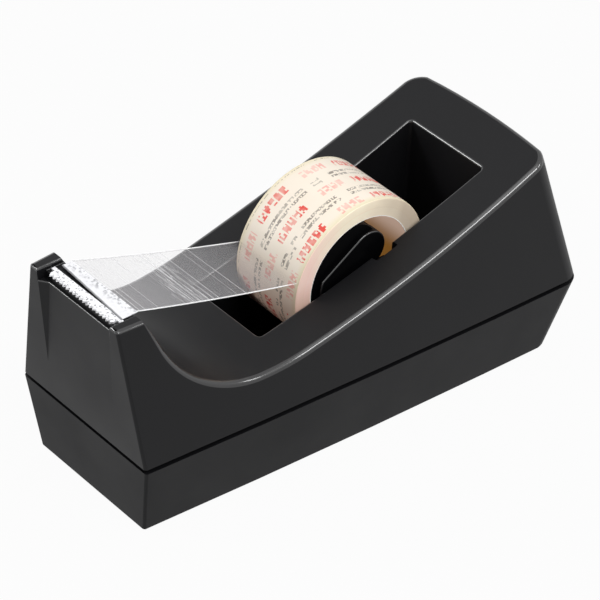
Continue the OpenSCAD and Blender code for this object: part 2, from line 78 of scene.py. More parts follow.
camera_data = bpy.data.cameras.new("photo_camera")
camera_data.sensor_width = 36
camera_data.lens = FOCAL_LENGTH
camera_data.clip_start = 0.05
camera_data.clip_end = 20
camera = bpy.data.objects.new("photo_camera", camera_data)
camera.location = Vector(CAMERA_PLACE) * MM
camera.rotation_euler = Euler([math.radians(a) for a in CAMERA_TURN])
bpy.context.scene.collection.objects.link(camera)
bpy.context.scene.camera = camera
bpy.context.scene.view_settings.view_transform = "Standard"
print("camera at", [round(c, 3) for c in camera.location])

# %% [markdown]
# ## Small tools
# Colours are written as sRGB hex values, as a painter reads them from a screen, and one function
# turns them into the linear values that Blender mixes. One more function adds a shader node with
# its settings, values and links, so each material below reads as a short recipe. Many patterns
# ask how far a value is from the middle of something, so that has a function too.

# %% Colour and node tools
def linear(hex_colour, alpha=1.0):
    """sRGB hex to linear red, green, blue, alpha."""
    parts = [int(hex_colour[i:i + 2], 16) / 255 for i in (1, 3, 5)]
    return [c / 12.92 if c <= 0.04045 else ((c + 0.055) / 1.055) ** 2.4 for c in parts] + [alpha]


def add_node(tree, kind, inputs=None, **settings):
    """Add a node. A value in inputs is a number, a vector, a colour, or a socket to link from."""
    node = tree.nodes.new(kind)
    for name, value in settings.items():
        setattr(node, name, value)
    for key, value in (inputs or {}).items():
        if isinstance(value, bpy.types.NodeSocket):
            tree.links.new(value, node.inputs[key])
        else:
            node.inputs[key].default_value = value
    return node


def distance_from(tree, value, middle):
    """How far a value lies from the middle one, on either side of it."""
    off = add_node(tree, "ShaderNodeMath", {0: value, 1: middle}, operation="SUBTRACT").outputs[0]
    return add_node(tree, "ShaderNodeMath", {0: off}, operation="ABSOLUTE").outputs[0]


def new_material(name):
    """A material with its node tree and its main shader."""
    material = bpy.data.materials.new(name)
    material.use_nodes = True
    shader = material.node_tree.nodes["Principled BSDF"]
    return material, material.node_tree, shader


def dress(piece, *materials):
    """Give a piece its materials, in slot order."""
    piece.data.materials.clear()
    for material in materials:
        piece.data.materials.append(material)


# %% [markdown]
# ## The plastic of the body
# The cover and the base are black plastic, taken here as moulded ABS, a common choice for such a
# body. The photograph shows an even satin black with soft reflections, as a finely blasted mould
# leaves it. The base colour is close to black, so how light a face looks is set by how much of the
# white room it reflects: by its specular level and by the weight of a soft coat. Cloudy patches
# about 14 mm wide vary the colour and the roughness a little. Real grain is near 0.1 mm; it is
# drawn at 0.45 mm so that it shows at this distance.

# %% Moulded ABS
CLOUD_MM = 14
GRAIN_MM = 0.45
GRAIN_DEPTH_MM = 0.02


def moulded_abs(name, dark, light, rough, shine, coat, coat_rough, bump=0.06):
    """Black plastic. shine is its specular level and bump the strength of its grain."""
    material, tree, shader = new_material(name)
    place = add_node(tree, "ShaderNodeTexCoord").outputs["Object"]
    cloud = add_node(tree, "ShaderNodeTexNoise", {"Vector": place, "Scale": 1 / (CLOUD_MM * MM),
                     "Detail": 3.0, "Roughness": 0.5}).outputs["Fac"]
    tone = add_node(tree, "ShaderNodeMix", {"Factor": cloud, "A": linear(dark), "B": linear(light)},
                    data_type="RGBA").outputs["Result"]
    tree.links.new(tone, shader.inputs["Base Color"])
    patchy = add_node(tree, "ShaderNodeMapRange", {"Value": cloud, "From Min": 0.3, "From Max": 0.7,
                      "To Min": rough - 0.04, "To Max": rough + 0.05}).outputs["Result"]
    tree.links.new(patchy, shader.inputs["Roughness"])
    grain = add_node(tree, "ShaderNodeTexNoise", {"Vector": place, "Scale": 1 / (GRAIN_MM * MM),
                     "Detail": 2.0}).outputs["Fac"]
    relief = add_node(tree, "ShaderNodeBump", {"Height": grain, "Strength": bump,
                      "Distance": GRAIN_DEPTH_MM * MM}).outputs["Normal"]
    tree.links.new(relief, shader.inputs["Normal"])
    shader.inputs["IOR"].default_value = 1.5
    shader.inputs["Specular IOR Level"].default_value = shine
    shader.inputs["Coat Weight"].default_value = coat
    shader.inputs["Coat Roughness"].default_value = coat_rough
    return material


cover_abs = moulded_abs("black_abs_blasted_cover", "#0C0C0E", "#101012", rough=0.5, shine=0.15,
                        coat=0.14, coat_rough=0.28)
base_abs = moulded_abs("black_abs_blasted_base", "#0B0B0D", "#0F0F11", rough=0.52, shine=0.1,
                       coat=0.08, coat_rough=0.28)
edge_abs = moulded_abs("black_abs_glossy_edge", "#0C0C0E", "#101012", rough=0.4, shine=0.3,
                       coat=1.0, coat_rough=0.12, bump=0.02)
# the hub's plastic is darker and reflects far less than the body's: painted shade
hub_abs_shaded = moulded_abs("black_abs_smooth_shaded_hub", "#020203", "#040405", rough=0.5, shine=0.04,
                      coat=0.06, coat_rough=0.13, bump=0.02)
print("plastics:", cover_abs.name, base_abs.name, edge_abs.name, hub_abs_shaded.name)

# %% [markdown]
# ## Copies of the CAD shells with rounded edges
# A moulded edge is never sharp: it has a small round that catches the light, and here that bright
# line along the saddle is what gives the body its shape. The CAD shells have sharp edges, so each
# is copied, its triangles are joined back into flat faces, and chosen edges get a bevel. The
# radius of each edge follows from its place, and one bevel for all of them keeps the corners clean.

# %% Copy tools
# points closer than this are one, and faces that turn less than this are one flat face
MERGE_WITHIN = 0.002 * MM
FLAT_WITHIN = math.radians(0.5)


def deselect():
    if bpy.context.object and bpy.context.object.mode != "OBJECT":
        bpy.ops.object.mode_set(mode="OBJECT")
    bpy.ops.object.select_all(action="DESELECT")


def make_active(piece):
    deselect()
    piece.select_set(True)
    bpy.context.view_layer.objects.active = piece


def apply_modifier(piece, kind, **settings):
    make_active(piece)
    modifier = piece.modifiers.new(kind.lower(), kind)
    for name, value in settings.items():
        setattr(modifier, name, value)
    bpy.ops.object.modifier_apply(modifier=modifier.name)


def copy_of_node(node, name):
    piece = bpy.data.objects.new(name, nodes[node].data.copy())
    bpy.context.scene.collection.objects.link(piece)
    make_active(piece)
    bpy.ops.mesh.customdata_custom_splitnormals_clear()
    bpy.ops.object.mode_set(mode="EDIT")
    bpy.ops.mesh.select_all(action="SELECT")
    bpy.ops.mesh.remove_doubles(threshold=MERGE_WITHIN)
    bpy.ops.mesh.dissolve_limited(angle_limit=FLAT_WITHIN)
    bpy.ops.object.mode_set(mode="OBJECT")
    return piece


# %% [markdown]
# Only convex edges that turn sharply are rounded. A function of the piece says how large each
# round is, from the place of the edge and from how its two faces look: the Z of a face's normal is
# near 1 where it looks up, near 0 where it stands upright and near -1 where it looks down.

# %% Rounding the edges
ROUND_SEGMENTS = 4
# an edge that turns less than this is part of a curved face
LEAST_TURN = math.radians(28)
SMOOTH_TURN = math.radians(32)
# a face looks straight along an axis where its normal has more than this along it
SQUARE_ON = 0.9


def within(at, footprint):
    """Whether a place in mm lies inside a footprint: half width, front and back, in mm."""
    half_width, front, back = footprint
    return abs(at.y) < half_width and front < at.x < back


def bevel_edges(piece, radius_at, largest, material=-1):
    """Round the convex edges of a piece. radius_at gives a radius in mm for an edge's middle in mm
    and the normals of its two faces, or 0 to leave it sharp. material is the slot of the rounds."""
    mesh = piece.data
    faces_of = {}
    for face in mesh.polygons:
        for key in face.edge_keys:
            faces_of.setdefault(key, []).append(face)
    weights = mesh.attributes.new("bevel_weight_edge", "FLOAT", "EDGE")
    count = 0
    for edge in mesh.edges:
        pair = faces_of.get(edge.key, [])
        if len(pair) != 2:
            continue
        one, two = pair
        between = two.center - one.center
        convex = one.normal.dot(between) < 0 or two.normal.dot(between) > 0
        if not convex or one.normal.angle(two.normal) < LEAST_TURN:
            continue
        ends = [mesh.vertices[v].co for v in edge.vertices]
        radius = radius_at((ends[0] + ends[1]) / 2 / MM, one.normal, two.normal)
        if radius > 0:
            weights.data[edge.index].value = radius / largest
            count += 1
    apply_modifier(piece, "BEVEL", limit_method="WEIGHT", width=largest * MM,
                   segments=ROUND_SEGMENTS, use_clamp_overlap=False, loop_slide=True,
                   material=material)
    make_active(piece)
    bpy.ops.object.shade_smooth_by_angle(angle=SMOOTH_TURN)
    apply_modifier(piece, "WEIGHTED_NORMAL", keep_sharp=True, weight=100)
    print(piece.name, "rounded edges:", count, "faces:", len(mesh.polygons))


# %% [markdown]
# ## The cover
# The cover is the upper shell: saddle, ears, recessed front panel and well. Its outer edges have
# the largest round, about 1 mm, the rim of the well less than half of that, and the small steps at
# the cutter less again. The photographed edges are far brighter than the faces, so the rounds get
# a glossier plastic.

# %% Cover shell
# radii in mm
OUTER_ROUND = 0.95
EAR_ROUND = 0.5
WELL_ROUND = 0.4
SEAM_ROUND = 0.25
STEP_ROUND = 0.2
# footprints in mm: what lies well inside the seam, the rim of the well, and the walls round it
INSIDE_COVER = (17, -53, 50)
WELL_RIM = (11.3, -20, 38.5)
WELL_WALLS = (13.2, -48, 48)
# all of the saddle lies above the first height, and the lower edge of the cover below the second
SADDLE_FROM = 26
SEAM_TO = 18.3
# the ears and the steps at the cutter lie in front of STEPS_BACK, and the ears' tops above EAR_TOP
STEPS_BACK = -48
EAR_TOP = cad_box[1][2] / MM - 0.3
# Z of a normal: an edge of the top has one face above LOOKS_UP and one below UPRIGHT
LOOKS_UP = 0.3
UPRIGHT = 0.45
LOOKS_DOWN = -0.7


def cover_radius(at, one, two):
    top = max(one.z, two.z)
    wall = min(one.z, two.z)
    if at.z < SADDLE_FROM:
        at_seam = at.z < SEAM_TO and wall < LOOKS_DOWN
        return SEAM_ROUND if at_seam and not within(at, INSIDE_COVER) else 0
    if top < LOOKS_UP or wall > UPRIGHT:
        return 0
    if within(at, WELL_RIM):
        return WELL_ROUND
    if within(at, WELL_WALLS):
        return 0
    if at.x < STEPS_BACK:
        return EAR_ROUND if at.z > EAR_TOP else STEP_ROUND
    return OUTER_ROUND


cover = copy_of_node("upper_cover", "cover_shell")
dress(cover, cover_abs, edge_abs)
bevel_edges(cover, cover_radius, OUTER_ROUND, material=1)
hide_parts("upper_cover")
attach(cover, "body")

# %% [markdown]
# ## The base
# The base is the lower tray that flares up to the seam. Only its outside shows: a soft round on
# the edge at the seam catches a thin line of light, and a larger one runs round the bottom.

# %% Base shell
# radii, a footprint and heights in mm
BOTTOM_ROUND = 0.5
RIM_ROUND = 0.3
INSIDE_BASE = (13.5, -48, 48)
BOTTOM_TO = 1.2
RIM_FROM, RIM_TO = 15.5, 17.5


def base_radius(at, one, two):
    if within(at, INSIDE_BASE):
        return 0
    if at.z < BOTTOM_TO and min(one.z, two.z) < -SQUARE_ON:
        return BOTTOM_ROUND
    if RIM_FROM < at.z < RIM_TO and max(one.z, two.z) > SQUARE_ON:
        return RIM_ROUND
    return 0


base = copy_of_node("base_tray", "base_shell")
dress(base, base_abs)
bevel_edges(base, base_radius, BOTTOM_ROUND)
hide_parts("base_tray")
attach(base, "body")

# %% [markdown]
# ## The hub
# The hub carries the core. Its faces are almost black: its plastic is darker and reflects far less
# than the body's, a painted shade. Only the rim of its raised end plate draws one bright line, so
# that rim gets the glossier plastic.

# %% Hub
PLATE_ROUND = 0.25
# the rim of each end plate lies between these distances from the middle plane, in mm
PLATE_FROM, PLATE_TO = 9.4, 10.2


def hub_radius(at, one, two):
    at_rim = PLATE_FROM < abs(at.y) < PLATE_TO
    looks_sideways = max(abs(one.y), abs(two.y)) > SQUARE_ON
    return PLATE_ROUND if at_rim and looks_sideways else 0


hub = copy_of_node("hub", "hub_moulding")
dress(hub, hub_abs_shaded, edge_abs)
bevel_edges(hub, hub_radius, PLATE_ROUND, material=1)
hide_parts("hub")
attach(hub, "hub")

# %% [markdown]
# ## Measures of the roll
# The roll's own box gives its axle, its radius and its width, so the tape follows the CAD if that
# changes.

# %% Roll measures
low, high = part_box("tape_roll")
axle = (low + high) / 2
roll_r = (high.z - low.z) / 2
roll_w = high.y - low.y
wrap_low, wrap_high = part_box("core_wrap")
inner_r = (wrap_high.z - wrap_low.z) / 2
print("axle mm", [round(c / MM, 2) for c in axle], "radius", round(roll_r / MM, 2))

# %% [markdown]
# ## The printed face of the tape
# The tape is clear film over a printed band, so its round face is cream with red marks and fine
# grey lines of print under it. No words are drawn: small blocks that are on or off at random
# give the look of print that cannot be read. The pattern is worked out on the cylinder: the angle
# round the axle times the radius gives the distance round the roll in millimetres, and Y gives
# the place across it. Rows of red marks lie 6.6 mm apart, with two fine grey lines between them.

# %% Place on the roll
def roll_place(tree):
    """Distance across the roll, round it and from its axle, and the place from the axle, in mm."""
    place = add_node(tree, "ShaderNodeTexCoord").outputs["Object"]
    centred = add_node(tree, "ShaderNodeMapping", {"Vector": place,
                       "Location": [-axle.x / MM, -axle.y / MM, -axle.z / MM],
                       "Scale": [1 / MM] * 3}).outputs["Vector"]
    x, y, z = add_node(tree, "ShaderNodeSeparateXYZ", {0: centred}).outputs
    angle = add_node(tree, "ShaderNodeMath", {0: z, 1: x}, operation="ARCTAN2").outputs[0]
    round_it = add_node(tree, "ShaderNodeMath", {0: angle, 1: roll_r / MM},
                        operation="MULTIPLY").outputs[0]
    flat = add_node(tree, "ShaderNodeCombineXYZ", {0: x, 2: z}).outputs[0]
    out = add_node(tree, "ShaderNodeVectorMath", {0: flat}, operation="LENGTH").outputs["Value"]
    return y, round_it, out, centred


print("round the roll in mm:", round(2 * math.pi * roll_r / MM, 1))

# %% [markdown]
# The print is cut into rows across the roll, and repeats five times round it, so that the rows
# close on themselves. White noise on snapped places gives each small block one random number, and a
# threshold turns that into ink or no ink.

# %% Rows and blocks of print
# one row in mm across the roll: red marks at 0, grey lines below them, and the next row above
ROW_LOW, ROW_HIGH = -4.9, 1.7
ROW_SHIFT = 0.6
# each row starts a little further round the roll: mm round it for each mm across
ROW_SLANT = 0.12
# place round the roll in mm at which one repeat starts, how many there are, and the length of one
PRINT_START = 34.6
REPEATS = 5
repeat = 2 * math.pi * roll_r / MM / REPEATS


def print_rows(tree, across, along):
    """Place within a row, place round the roll, and the place for the blocks, in mm."""
    moved = add_node(tree, "ShaderNodeMath", {0: across, 1: ROW_SHIFT}, operation="ADD").outputs[0]
    row = add_node(tree, "ShaderNodeMath", {0: moved, 1: ROW_LOW, 2: ROW_HIGH},
                   operation="WRAP").outputs[0]
    number = add_node(tree, "ShaderNodeMath", {0: moved, 1: row}, operation="SUBTRACT").outputs[0]
    shifted = add_node(tree, "ShaderNodeMath", {0: number, 1: ROW_SLANT, 2: along},
                       operation="MULTIPLY_ADD").outputs[0]
    shifted = add_node(tree, "ShaderNodeMath", {0: shifted, 1: PRINT_START},
                       operation="SUBTRACT").outputs[0]
    blocks = add_node(tree, "ShaderNodeCombineXYZ", {0: shifted, 1: moved}).outputs[0]
    return row, shifted, blocks


def random_blocks(tree, blocks, size, bare):
    """1 or 0 at random for each block of a size in mm. bare is the share of blocks without ink."""
    snapped = add_node(tree, "ShaderNodeVectorMath", {0: blocks, 1: size}, operation="SNAP")
    chance = add_node(tree, "ShaderNodeTexWhiteNoise", {"Vector": snapped.outputs[0]},
                      noise_dimensions="2D").outputs["Value"]
    return add_node(tree, "ShaderNodeMath", {0: chance, 1: bare},
                    operation="GREATER_THAN").outputs[0]


print("one repeat of the print in mm:", round(repeat, 2))

# %% [markdown]
# Bold red marks start each repeat. Fainter pink ones follow them, and stand for the print of a
# lower turn that shows through the film.

# %% Red and pink marks
# sizes and places in mm
RED_BLOCK = (0.47, 0.6, 1.0)
MARK_PITCH, MARK_LENGTH = 1.65, 1.3
MARK_HALF_HEIGHT = 1.0
RED_TO = 8.6
PINK_MIDDLE, PINK_HALF = 14.0, 3.0


def red_marks(tree, row, shifted, blocks):
    """Masks of the red marks and of the pink ones."""
    marks = random_blocks(tree, blocks, RED_BLOCK, bare=0.3)
    gap = add_node(tree, "ShaderNodeMath", {0: shifted, 1: 0.0, 2: MARK_PITCH},
                   operation="WRAP").outputs[0]
    step = add_node(tree, "ShaderNodeMath", {0: shifted, 1: 0.0, 2: repeat},
                    operation="WRAP").outputs[0]
    after = distance_from(tree, step, PINK_MIDDLE)
    height = distance_from(tree, row, 0.0)
    for value, limit in ((gap, MARK_LENGTH), (height, MARK_HALF_HEIGHT)):
        inside = add_node(tree, "ShaderNodeMath", {0: value, 1: limit}, operation="LESS_THAN")
        marks = add_node(tree, "ShaderNodeMath", {0: marks, 1: inside.outputs[0]},
                         operation="MULTIPLY").outputs[0]
    masks = []
    for value, limit in ((step, RED_TO), (after, PINK_HALF)):
        inside = add_node(tree, "ShaderNodeMath", {0: value, 1: limit}, operation="LESS_THAN")
        masks.append(add_node(tree, "ShaderNodeMath", {0: marks, 1: inside.outputs[0]},
                              operation="MULTIPLY").outputs[0])
    return masks


print("red marks every", MARK_PITCH, "mm, blocks of", RED_BLOCK[:2], "mm")

# %% [markdown]
# Two lines of fine grey dashes run between the rows of red marks, 0.72 mm high and 1.2 mm apart.
# Small blocks make the dashes, and larger ones leave gaps as between words.

# %% Grey lines
# sizes and places in mm
GREY_BLOCK = (0.3, 0.38, 1.0)
WORD_BLOCK = (1.9, 1.2, 1.0)
GREY_MIDDLE, LINE_OFFSET, LINE_HALF_HEIGHT = -3.5, 0.6, 0.36
GREY_FROM, GREY_TO = -6.0, 12.5


def grey_lines(tree, row, shifted, blocks):
    """Mask of the grey lines."""
    dash = random_blocks(tree, blocks, GREY_BLOCK, bare=0.35)
    words = random_blocks(tree, blocks, WORD_BLOCK, bare=0.14)
    off = distance_from(tree, distance_from(tree, row, GREY_MIDDLE), LINE_OFFSET)
    lines = add_node(tree, "ShaderNodeMath", {0: off, 1: LINE_HALF_HEIGHT},
                     operation="LESS_THAN").outputs[0]
    step = add_node(tree, "ShaderNodeMath", {0: shifted, 1: GREY_FROM, 2: repeat + GREY_FROM},
                    operation="WRAP").outputs[0]
    here = add_node(tree, "ShaderNodeMath", {0: step, 1: GREY_TO}, operation="LESS_THAN").outputs[0]
    grey = dash
    for mask in (words, lines, here):
        grey = add_node(tree, "ShaderNodeMath", {0: grey, 1: mask}, operation="MULTIPLY").outputs[0]
    return grey


print("grey lines run for", GREY_TO - GREY_FROM, "mm of each repeat")

# %% [markdown]
# The ground is cream with faint patches about 8 mm wide. It is yellower near both sides of the
# roll, and rosier low down, where the rosy tint is painted shade. The print fades in patches about
# 2 mm wide.

# %% Printed tape material
# distances in mm from the middle of the tape: where print ends, and where the ground yellows
PRINT_HALF = 8.3
YELLOW_FROM, YELLOW_TO = 7.4, 8.9
# heights in mm above the axle between which the ground turns rosy, a painted shade
ROSY_SHADE_FROM, ROSY_SHADE_TO = 6.0, -8.0


def cream_ground(tree, side, spot):
    cloud = add_node(tree, "ShaderNodeTexNoise", {"Vector": spot, "Scale": 0.12, "Detail": 2.0})
    tone = add_node(tree, "ShaderNodeMix", {"Factor": cloud.outputs["Fac"], "A": linear("#F1E7DA"),
                    "B": linear("#E7DBC9")}, data_type="RGBA").outputs["Result"]
    yellow = add_node(tree, "ShaderNodeMapRange", {"Value": side, "From Min": YELLOW_FROM,
                      "From Max": YELLOW_TO}).outputs[0]
    tone = add_node(tree, "ShaderNodeMix", {"Factor": yellow, "A": tone, "B": linear("#E3D8B8")},
                    data_type="RGBA").outputs["Result"]
    height = add_node(tree, "ShaderNodeSeparateXYZ", {0: spot}).outputs[2]
    # the ground turns rosier low down: painted shade
    rosy = add_node(tree, "ShaderNodeMapRange", {"Value": height, "From Min": ROSY_SHADE_FROM,
                    "From Max": ROSY_SHADE_TO, "To Max": 0.75}).outputs[0]
    return add_node(tree, "ShaderNodeMix", {"Factor": rosy, "A": tone, "B": linear("#F3C3AA")},
                    data_type="RGBA").outputs["Result"]


def printed_tape():
    material, tree, shader = new_material("clear_film_over_printed_band")
    across, along, _, spot = roll_place(tree)
    row, shifted, blocks = print_rows(tree, across, along)
    red, pink = red_marks(tree, row, shifted, blocks)
    grey = grey_lines(tree, row, shifted, blocks)
    side = distance_from(tree, across, 0.0)
    tone = cream_ground(tree, side, spot)
    fade = add_node(tree, "ShaderNodeTexNoise", {"Vector": spot, "Scale": 0.45, "Detail": 1.0})
    fade = add_node(tree, "ShaderNodeMapRange", {"Value": fade.outputs["Fac"], "From Min": 0.35,
                    "From Max": 0.6, "To Min": 0.55, "To Max": 1.0}).outputs[0]
    inner = add_node(tree, "ShaderNodeMath", {0: side, 1: PRINT_HALF}, operation="LESS_THAN")
    fade = add_node(tree, "ShaderNodeMath", {0: fade, 1: inner.outputs[0]},
                    operation="MULTIPLY").outputs[0]
    inks = ((grey, 0.75, "#574E44"), (pink, 0.5, "#E8605C"), (red, 0.95, "#DB3A30"))
    for mask, strength, ink in inks:
        weight = add_node(tree, "ShaderNodeMath", {0: mask, 1: strength}, operation="MULTIPLY")
        weight = add_node(tree, "ShaderNodeMath", {0: weight.outputs[0], 1: fade},
                          operation="MULTIPLY").outputs[0]
        tone = add_node(tree, "ShaderNodeMix", {"Factor": weight, "A": tone, "B": linear(ink)},
                        data_type="RGBA").outputs["Result"]
    tree.links.new(tone, shader.inputs["Base Color"])
    shader.inputs["Roughness"].default_value = 0.42
    shader.inputs["Specular IOR Level"].default_value = 0.3
    # slow waves in the wound film, about 3 mm wide
    wave = add_node(tree, "ShaderNodeTexNoise", {"Vector": spot, "Scale": 0.35, "Detail": 1.0})
    relief = add_node(tree, "ShaderNodeBump", {"Height": wave.outputs["Fac"], "Strength": 0.25,
                      "Distance": 0.05 * MM}).outputs["Normal"]
    tree.links.new(relief, shader.inputs["Normal"])
    return material


print_face = printed_tape()
print("round face of the roll:", print_face.name)

# %% [markdown]
# ## The sides of the wound tape
# Each side of the roll is the cut edge of many turns of clear film. Its colour follows its place
# from the axle and is painted light and shade: rosy at the left, cream at the top, and browner at
# the right and low down. Noise that depends on the radius alone gives fine rings, and a weak glow
# is painted light that stands for the light that passes through the film.

# %% Cut side material
# strength of the glow at the sides of the film: painted light
FILM_GLOW = 0.13
# places in mm from the axle for the painted light and shade: from rosy to cream, from there to
# browner, and from there down
CREAM_FROM, CREAM_TO = -9.0, -1.0
BROWN_SHADE_FROM, BROWN_SHADE_TO = 4.0, 16.0
SHADE_FROM, SHADE_TO = 4.0, -4.0
# how far patches about 7 mm wide move these places, in mm
PATCH_SHIFT = 9.0


def side_tone_painted_light(tree, spot):
    """Colour of the roll's side at a place from its axle in mm, with painted light and shade."""
    split = add_node(tree, "ShaderNodeSeparateXYZ", {0: spot})
    cloud = add_node(tree, "ShaderNodeTexNoise", {"Vector": spot, "Scale": 0.15, "Detail": 2.0})
    place = add_node(tree, "ShaderNodeMath", {0: cloud.outputs["Fac"], 1: PATCH_SHIFT,
                     2: split.outputs[0]}, operation="MULTIPLY_ADD").outputs[0]
    left = add_node(tree, "ShaderNodeMapRange", {"Value": place, "From Min": CREAM_FROM,
                    "From Max": CREAM_TO}).outputs[0]
    tone = add_node(tree, "ShaderNodeMix", {"Factor": left, "A": linear("#FFDCD0"),
                    "B": linear("#FFF2D8")}, data_type="RGBA").outputs["Result"]
    right = add_node(tree, "ShaderNodeMapRange", {"Value": place, "From Min": BROWN_SHADE_FROM,
                     "From Max": BROWN_SHADE_TO}).outputs[0]
    tone = add_node(tree, "ShaderNodeMix", {"Factor": right, "A": tone, "B": linear("#CDBDA9")},
                    data_type="RGBA").outputs["Result"]
    low = add_node(tree, "ShaderNodeMapRange", {"Value": split.outputs[2], "From Min": SHADE_FROM,
                   "From Max": SHADE_TO, "To Max": 0.7}).outputs[0]
    return add_node(tree, "ShaderNodeMix", {"Factor": low, "A": tone, "B": linear("#B98C70")},
                    data_type="RGBA").outputs["Result"]


def wound_edge():
    material, tree, shader = new_material("wound_film_cut_side")
    _, _, radius, spot = roll_place(tree)
    rings = add_node(tree, "ShaderNodeCombineXYZ", {0: radius}).outputs[0]
    turns = add_node(tree, "ShaderNodeTexNoise", {"Vector": rings, "Scale": 3.2, "Detail": 3.0})
    faint = add_node(tree, "ShaderNodeMapRange", {"Value": turns.outputs["Fac"], "From Min": 0.35,
                     "From Max": 0.7, "To Max": 0.18}).outputs[0]
    tone = add_node(tree, "ShaderNodeMix", {"Factor": faint, "A": side_tone_painted_light(tree, spot),
                    "B": linear("#C2AC88")}, data_type="RGBA").outputs["Result"]
    tree.links.new(tone, shader.inputs["Base Color"])
    # the same colour glows weakly: painted light
    tree.links.new(tone, shader.inputs["Emission Color"])
    shader.inputs["Emission Strength"].default_value = FILM_GLOW
    relief = add_node(tree, "ShaderNodeBump", {"Height": turns.outputs["Fac"], "Strength": 0.3,
                      "Distance": 0.05 * MM}).outputs["Normal"]
    tree.links.new(relief, shader.inputs["Normal"])
    shader.inputs["Roughness"].default_value = 0.5
    return material


cut_side = wound_edge()
print("side of the roll:", cut_side.name)

# %% [markdown]
# ## The wound tape
# The roll is a ring with slightly rounded edges. It is made as on a lathe: a flat rectangle is the
# section of the ring, its two outer corners are rounded, and spinning it round the axle gives the
# body. The faces that look sideways then get the material of the cut side.

# %% Wound tape
TAPE_EDGE_ROUND = 0.35 * MM
SPIN_STEPS = 240
# a face whose normal has more than this along Y belongs to a side of the roll
SIDE_FACE = 0.6


def make_wound_tape():
    deselect()
    middle = Vector((axle.x + (inner_r + roll_r) / 2, 0, axle.z))
    bpy.ops.mesh.primitive_plane_add(size=1, location=middle)
    piece = bpy.context.object
    piece.name = "wound_tape"
    piece.scale = (roll_r - inner_r, roll_w, 1)
    bpy.ops.object.transform_apply(location=True, rotation=True, scale=True)
    bpy.ops.object.mode_set(mode="EDIT")
    bpy.ops.mesh.select_all(action="SELECT")
    bpy.ops.mesh.delete(type="ONLY_FACE")
    bpy.ops.mesh.select_all(action="DESELECT")
    bpy.ops.object.mode_set(mode="OBJECT")
    for vertex in piece.data.vertices:
        vertex.select = vertex.co.x > middle.x
    bpy.ops.object.mode_set(mode="EDIT")
    bpy.ops.mesh.bevel(affect="VERTICES", offset=TAPE_EDGE_ROUND, segments=ROUND_SEGMENTS)
    bpy.ops.mesh.select_all(action="SELECT")
    bpy.ops.mesh.spin(steps=SPIN_STEPS, angle=2 * math.pi, center=axle, axis=(0, 1, 0))
    bpy.ops.mesh.select_all(action="SELECT")
    bpy.ops.mesh.remove_doubles(threshold=MERGE_WITHIN)
    bpy.ops.mesh.normals_make_consistent(inside=False)
    bpy.ops.object.mode_set(mode="OBJECT")
    dress(piece, print_face, cut_side)
    for face in piece.data.polygons:
        face.material_index = 1 if abs(face.normal.y) > SIDE_FACE else 0
    bpy.ops.object.shade_smooth_by_angle(angle=math.radians(40))
    return piece


wound = make_wound_tape()
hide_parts("tape_roll")
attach(wound, "roll")
print(wound.name, "faces", len(wound.data.polygons))

# %% [markdown]
# ## The core
# The core is taken as wound card. Its rim is a painted highlight, a bright, almost white line round
# the bore, and the inside turns from cream at the top to a warm orange brown lower down, a painted
# shade. The bore also glows in its own colour, painted light, as if light came through the wound
# film, so it is lighter than the lamps alone make it.

# %% Core and wrap materials
# strength of the bore's glow: painted light
BORE_GLOW = 0.6
# distances in mm from the axle between which the white line of the rim, a painted highlight, ends
HIGHLIGHT_LINE_FROM, HIGHLIGHT_LINE_TO = 12.88, 12.98
# faces farther than this from the middle of the tape, in mm, are the rim
RIM_SIDE = 8.8
# heights in mm above the axle between which the bore turns from brown to cream, a painted shade
BORE_SHADED_BROWN, BORE_LIT_CREAM = -2.5, 5.5


def core_card():
    material, tree, shader = new_material("wound_card_core")
    across, _, radius, spot = roll_place(tree)
    # the bore's painted shade: brown low down, cream higher up
    height = add_node(tree, "ShaderNodeSeparateXYZ", {0: spot}).outputs[2]
    height = add_node(tree, "ShaderNodeMapRange", {"Value": height, "From Min": BORE_SHADED_BROWN,
                      "From Max": BORE_LIT_CREAM}, interpolation_type="SMOOTHSTEP").outputs[0]
    inside = add_node(tree, "ShaderNodeMix", {"Factor": height, "A": linear("#865C28"),
                      "B": linear("#CBB09F")}, data_type="RGBA").outputs["Result"]
    # a painted highlight: a white line at the rim of the bore
    rim = add_node(tree, "ShaderNodeMapRange", {"Value": radius, "From Min": HIGHLIGHT_LINE_FROM,
                   "From Max": HIGHLIGHT_LINE_TO}).outputs[0]
    rim_highlight_tone = add_node(tree, "ShaderNodeMix", {"Factor": rim, "A": linear("#FFFDF8"),
                        "B": side_tone_painted_light(tree, spot)}, data_type="RGBA").outputs["Result"]
    at_rim = add_node(tree, "ShaderNodeMath", {0: distance_from(tree, across, 0.0), 1: RIM_SIDE},
                      operation="GREATER_THAN").outputs[0]
    tone = add_node(tree, "ShaderNodeMix", {"Factor": at_rim, "A": inside, "B": rim_highlight_tone},
                    data_type="RGBA").outputs["Result"]
    tree.links.new(tone, shader.inputs["Base Color"])
    tree.links.new(tone, shader.inputs["Emission Color"])
    # the glow is painted light, stronger in the bore than at the rim
    glow = add_node(tree, "ShaderNodeMath", {0: at_rim, 1: FILM_GLOW - BORE_GLOW, 2: BORE_GLOW},
                    operation="MULTIPLY_ADD").outputs[0]
    tree.links.new(glow, shader.inputs["Emission Strength"])
    fibre = add_node(tree, "ShaderNodeTexNoise", {"Vector": spot, "Scale": 2.5, "Detail": 3.0})
    relief = add_node(tree, "ShaderNodeBump", {"Height": fibre.outputs["Fac"], "Strength": 0.2,
                      "Distance": 0.03 * MM}).outputs["Normal"]
    tree.links.new(relief, shader.inputs["Normal"])
    shader.inputs["Roughness"].default_value = 0.55
    return material


